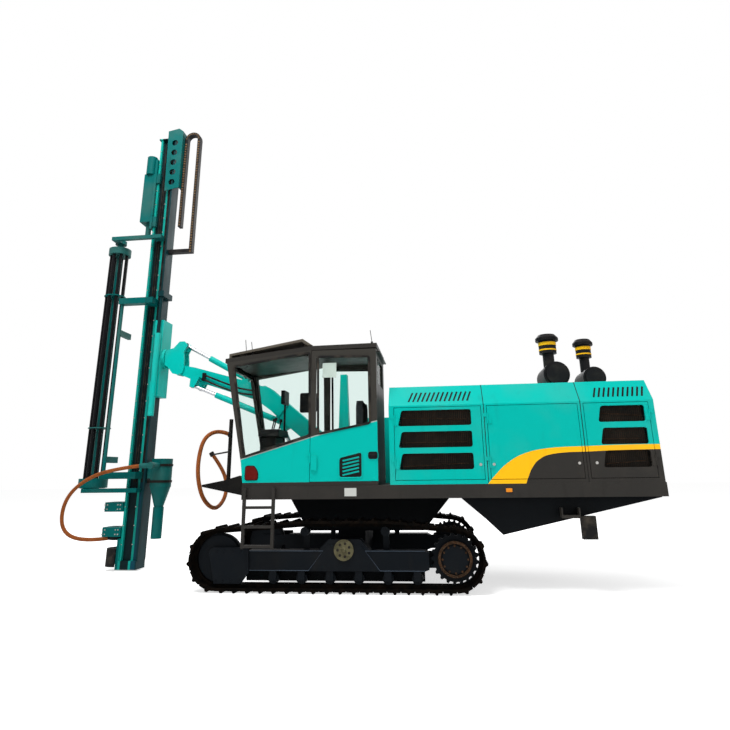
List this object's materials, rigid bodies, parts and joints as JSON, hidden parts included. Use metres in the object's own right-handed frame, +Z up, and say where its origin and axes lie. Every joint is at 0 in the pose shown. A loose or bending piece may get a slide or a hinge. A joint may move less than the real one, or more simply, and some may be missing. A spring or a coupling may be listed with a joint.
{
  "type": "top hammer drilling rig",
  "caption": "Crawler drilling rig with a cab, a hood over its power pack, a folding boom and an upright feed beam with a rock drill and a rod carousel.",
  "frame": {"origin": "middle of the bounding box on the ground", "axes": "+X forward, towards the feed beam; +Y the machine's left; +Z up"},
  "size_m": [7.822, 2.344, 7.14],
  "materials": {
    "track_steel": "dark worn steel",
    "navy_frame": "dark navy paint, scuffed",
    "deck_grey": "dark warm grey paint",
    "teal_paint": "satin teal paint",
    "cab_grey": "dark warm grey paint",
    "cab_teal": "satin teal paint",
    "core_metal": "dark fins",
    "glass": "clear, slightly green",
    "plastic_dark": "matte",
    "seat_fabric": "woven dark",
    "feed_teal": "deep teal paint, oily",
    "boom_teal": "teal paint",
    "rod_chrome": "polished",
    "rod_black": "oiled black steel",
    "rubber": "matte black",
    "chain_black": "black links"
  },
  "bodies": {
    "chassis": {"track_left": "track_steel", "track_right": "track_steel", "track_frames": "navy_frame", "track_wheels": "navy_frame", "centre_frame": "deck_grey", "deck_frame": "deck_grey", "belly_tub": "deck_grey", "hood": "teal_paint", "power_pack": "core_metal", "coolers": "core_metal", "cab_floor": "cab_grey", "cab_left_wall": "cab_teal", "cab_right_wall": "cab_grey", "cab_rear_wall": "cab_grey", "cab_front_frame": "cab_grey", "cab_roof": "cab_grey", "roof_guard": "cab_grey", "cab_glass": "glass", "cab_seat": "seat_fabric", "cab_console": "plastic_dark", "steps": "deck_grey", "air_cleaners": "plastic_dark", "feed_rest": "boom_teal", "drain_chute": "rubber", "side_cabinet": "plastic_dark", "boom_foot": "boom_teal"},
    "cab_door": {"cab_door": "cab_teal", "cab_door_glass": "glass"},
    "hood_door_left_front": {"hood_door_left_front": "teal_paint"},
    "hood_door_left_middle": {"hood_door_left_middle": "teal_paint"},
    "hood_door_left_rear": {"hood_door_left_rear": "teal_paint"},
    "hood_door_right_front": {"hood_door_right_front": "teal_paint"},
    "hood_door_right_rear": {"hood_door_right_rear": "teal_paint"},
    "turret": {"boom_turret": "boom_teal"},
    "lower_boom": {"lower_boom": "boom_teal"},
    "forearm": {"forearm": "boom_teal"},
    "lift_barrel": {"lift_ram_barrel": "boom_teal"},
    "lift_rod": {"lift_ram_rod": "rod_chrome"},
    "fold_barrel": {"fold_ram_barrel": "boom_teal"},
    "fold_rod": {"fold_ram_rod": "rod_chrome"},
    "tilt_barrel": {"tilt_ram_barrel": "boom_teal"},
    "tilt_rod": {"tilt_ram_rod": "rod_chrome"},
    "tilt_bracket": {"tilt_bracket": "boom_teal"},
    "feed_mount": {"feed_mount": "boom_teal"},
    "feed_beam": {"feed_beam": "feed_teal", "hose_box": "feed_teal", "hose_chain": "chain_black", "carousel_frame": "boom_teal", "clamp_jaws": "boom_teal", "dust_separator": "feed_teal"},
    "carriage": {"drill_carriage": "boom_teal"},
    "carousel": {"rod_carousel": "boom_teal", "drill_rods": "rod_black"},
    "rod_arms": {"rod_arms": "boom_teal"},
    "dust_hood": {"dust_hood": "rubber"}
  },
  "joints": [
    {"name": "cab_door_hinge", "type": "hinge", "parent": "chassis", "child": "cab_door", "pos_m": [0.055, 1.129, 1.9], "axis": [0, 0, -1], "range_deg": [0, 95]},
    {"name": "hood_door_left_front_hinge", "type": "hinge", "parent": "chassis", "child": "hood_door_left_front", "pos_m": [-0.961, 1.139, 1.6], "axis": [0, 0, -1], "range_deg": [0, 100]},
    {"name": "hood_door_left_middle_hinge", "type": "hinge", "parent": "chassis", "child": "hood_door_left_middle", "pos_m": [-2.051, 1.139, 1.6], "axis": [0, 0, -1], "range_deg": [0, 100]},
    {"name": "hood_door_left_rear_hinge", "type": "hinge", "parent": "chassis", "child": "hood_door_left_rear", "pos_m": [-3.859, 1.139, 1.6], "axis": [0, 0, 1], "range_deg": [0, 100]},
    {"name": "hood_door_right_front_hinge", "type": "hinge", "parent": "chassis", "child": "hood_door_right_front", "pos_m": [-0.961, -1.139, 1.6], "axis": [0, 0, 1], "range_deg": [0, 100]},
    {"name": "hood_door_right_rear_hinge", "type": "hinge", "parent": "chassis", "child": "hood_door_right_rear", "pos_m": [-3.859, -1.139, 1.6], "axis": [0, 0, -1], "range_deg": [0, 100]},
    {"name": "boom_swing", "type": "hinge", "parent": "chassis", "child": "turret", "pos_m": [-0.045, -0.45, 1.3], "axis": [0, 0, 1], "range_deg": [-20, 12]},
    {"name": "boom_lift", "type": "hinge", "parent": "turret", "child": "lower_boom", "pos_m": [0.105, -0.45, 1.62], "axis": [0, 1, 0], "range_deg": [-25, 20]},
    {"name": "boom_fold", "type": "hinge", "parent": "lower_boom", "child": "forearm", "pos_m": [1.11, -0.45, 2.45], "axis": [0, -1, 0], "range_deg": [-45, 20]},
    {"name": "feed_tilt", "type": "hinge", "parent": "forearm", "child": "tilt_bracket", "pos_m": [2.485, -0.45, 2.87], "axis": [0, 1, 0], "range_deg": [-70, 25]},
    {"name": "feed_swing", "type": "hinge", "parent": "tilt_bracket", "child": "feed_mount", "pos_m": [2.705, -0.45, 3.05], "axis": [-1, 0, 0], "range_deg": [-40, 40]},
    {"name": "feed_extension", "type": "slide", "parent": "feed_mount", "child": "feed_beam", "axis": [0, 0, 1], "range_m": [-0.35, 0.6]},
    {"name": "carriage_feed", "type": "slide", "parent": "feed_beam", "child": "carriage", "axis": [0, 0, 1], "range_m": [-4, 0.1]},
    {"name": "carousel_spin", "type": "hinge", "parent": "feed_beam", "child": "carousel", "pos_m": [3.712, -0.45, 3], "axis": [0, 0, 1], "continuous": true},
    {"name": "rod_arm_swing", "type": "hinge", "parent": "feed_beam", "child": "rod_arms", "pos_m": [3.419, -0.2, 2.5], "axis": [0, 0, -1], "range_deg": [-18, 30]},
    {"name": "dust_hood_lift", "type": "slide", "parent": "feed_beam", "child": "dust_hood", "axis": [0, 0, 1], "range_m": [0, 0.1]},
    {"name": "lift_ram_barrel_hinge", "type": "hinge", "parent": "turret", "child": "lift_barrel", "pos_m": [0.5, -0.45, 1.29], "axis": [0, -1, 0], "range_deg": [-16.86, 20.82]},
    {"name": "lift_ram_rod_slide", "type": "slide", "parent": "lift_barrel", "child": "lift_rod", "axis": [0.4168, 0, 0.909], "range_m": [-0.1762, 0.219]},
    {"name": "fold_ram_barrel_hinge", "type": "hinge", "parent": "lower_boom", "child": "fold_barrel", "pos_m": [0.88, -0.45, 2.05], "axis": [0, -1, 0], "range_deg": [-35.58, 16.37]},
    {"name": "fold_ram_rod_slide", "type": "slide", "parent": "fold_barrel", "child": "fold_rod", "axis": [0.9235, 0, 0.3836], "range_m": [-0.2656, 0.1208]},
    {"name": "tilt_ram_barrel_hinge", "type": "hinge", "parent": "forearm", "child": "tilt_barrel", "pos_m": [1.4, -0.45, 2.7], "axis": [0, -1, 0], "range_deg": [-4.16, 2.13]},
    {"name": "tilt_ram_rod_slide", "type": "slide", "parent": "tilt_barrel", "child": "tilt_rod", "axis": [0.8762, 0, 0.4819], "range_m": [-0.4141, 0.1511]}
  ],
  "couplings": [
    {"joint": "lift_ram_barrel_hinge", "follows": "boom_lift", "ratio": -0.7928},
    {"joint": "lift_ram_rod_slide", "follows": "boom_lift", "m_per_rad": -0.4904},
    {"joint": "fold_ram_barrel_hinge", "follows": "boom_fold", "ratio": 0.7684},
    {"joint": "fold_ram_rod_slide", "follows": "boom_fold", "m_per_rad": 0.33182},
    {"joint": "tilt_ram_barrel_hinge", "follows": "feed_tilt", "ratio": 0.0451},
    {"joint": "tilt_ram_rod_slide", "follows": "feed_tilt", "m_per_rad": 0.33488}
  ]
}
